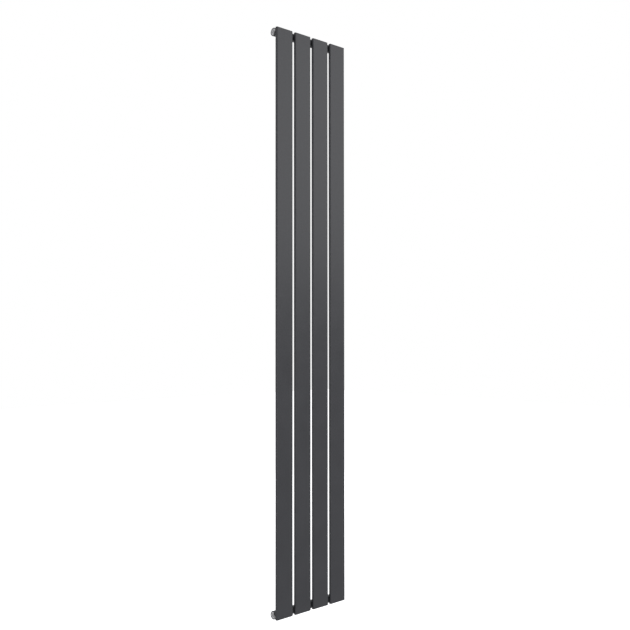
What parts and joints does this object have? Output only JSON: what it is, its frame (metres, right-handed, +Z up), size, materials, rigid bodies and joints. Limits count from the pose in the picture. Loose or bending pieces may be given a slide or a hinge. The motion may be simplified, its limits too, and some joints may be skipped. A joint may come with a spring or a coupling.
{
  "type": "vertical flat-panel radiator",
  "caption": "Tall narrow water radiator: flat vertical panels joined by round headers top and bottom, threaded ports, an air vent, and hook brackets that hold it on a wall.",
  "frame": {"origin": "middle of the wall fixings, on the wall plane, at the middle of the width and half the height", "axes": "+Z up along the panels, +Y into the wall, -Y towards the room, +X to the right seen from the room"},
  "size_m": [0.3017, 0.06, 1.8089],
  "materials": {
    "radiator_paint": "satin anthracite powder coat",
    "bracket_paint": "satin anthracite powder coat",
    "threaded_steel": "turned zinc-plated steel, painted outside",
    "nickel_plate": "nickel-plated brass",
    "bare_brass": "bright turned brass",
    "seal_rubber": "black rubber",
    "collar_plastic": "white nylon",
    "liner_plastic": "dark grey nylon"
  },
  "bodies": {
    "wall_brackets": {"lower_left_bracket_arm": "bracket_paint", "lower_left_bracket_liner": "liner_plastic", "lower_left_wall_plate": "bracket_paint", "lower_right_bracket_arm": "bracket_paint", "lower_right_bracket_liner": "liner_plastic", "lower_right_wall_plate": "bracket_paint", "upper_left_bracket_arm": "bracket_paint", "upper_left_bracket_liner": "liner_plastic", "upper_left_wall_plate": "bracket_paint", "upper_right_bracket_arm": "bracket_paint", "upper_right_bracket_liner": "liner_plastic", "upper_right_wall_plate": "bracket_paint"},
    "radiator": {"blanking_plug": "nickel_plate", "bottom_header": "radiator_paint", "bottom_left_bush": "threaded_steel", "bottom_port_sleeves": "radiator_paint", "bottom_right_bush": "threaded_steel", "panel_1": "radiator_paint", "panel_1_bottom_cap": "radiator_paint", "panel_1_top_cap": "radiator_paint", "panel_2": "radiator_paint", "panel_2_bottom_cap": "radiator_paint", "panel_2_top_cap": "radiator_paint", "panel_3": "radiator_paint", "panel_3_bottom_cap": "radiator_paint", "panel_3_top_cap": "radiator_paint", "panel_4": "radiator_paint", "panel_4_bottom_cap": "radiator_paint", "panel_4_top_cap": "radiator_paint", "plug_o_ring": "seal_rubber", "top_header": "radiator_paint", "top_left_bush": "threaded_steel", "top_port_sleeves": "radiator_paint", "top_right_bush": "threaded_steel", "vent_body": "nickel_plate", "vent_o_ring": "seal_rubber"},
    "bleed_screw": {"bleed_screw": "bare_brass"},
    "outlet_collar": {"vent_outlet_collar": "collar_plastic"}
  },
  "joints": [
    {"name": "lift_off", "type": "slide", "parent": "wall_brackets", "child": "radiator", "axis": [0, 0, 1], "range_m": [0, 0.025]},
    {"name": "bleed_screw_turn", "type": "hinge", "parent": "radiator", "child": "bleed_screw", "pos_m": [0.15075, -0.0378, 0.8891], "axis": [1, 0, 0], "range_deg": [0, 360]},
    {"name": "outlet_collar_turn", "type": "hinge", "parent": "radiator", "child": "outlet_collar", "pos_m": [0.15005, -0.0378, 0.8891], "axis": [1, 0, 0], "continuous": true}
  ]
}
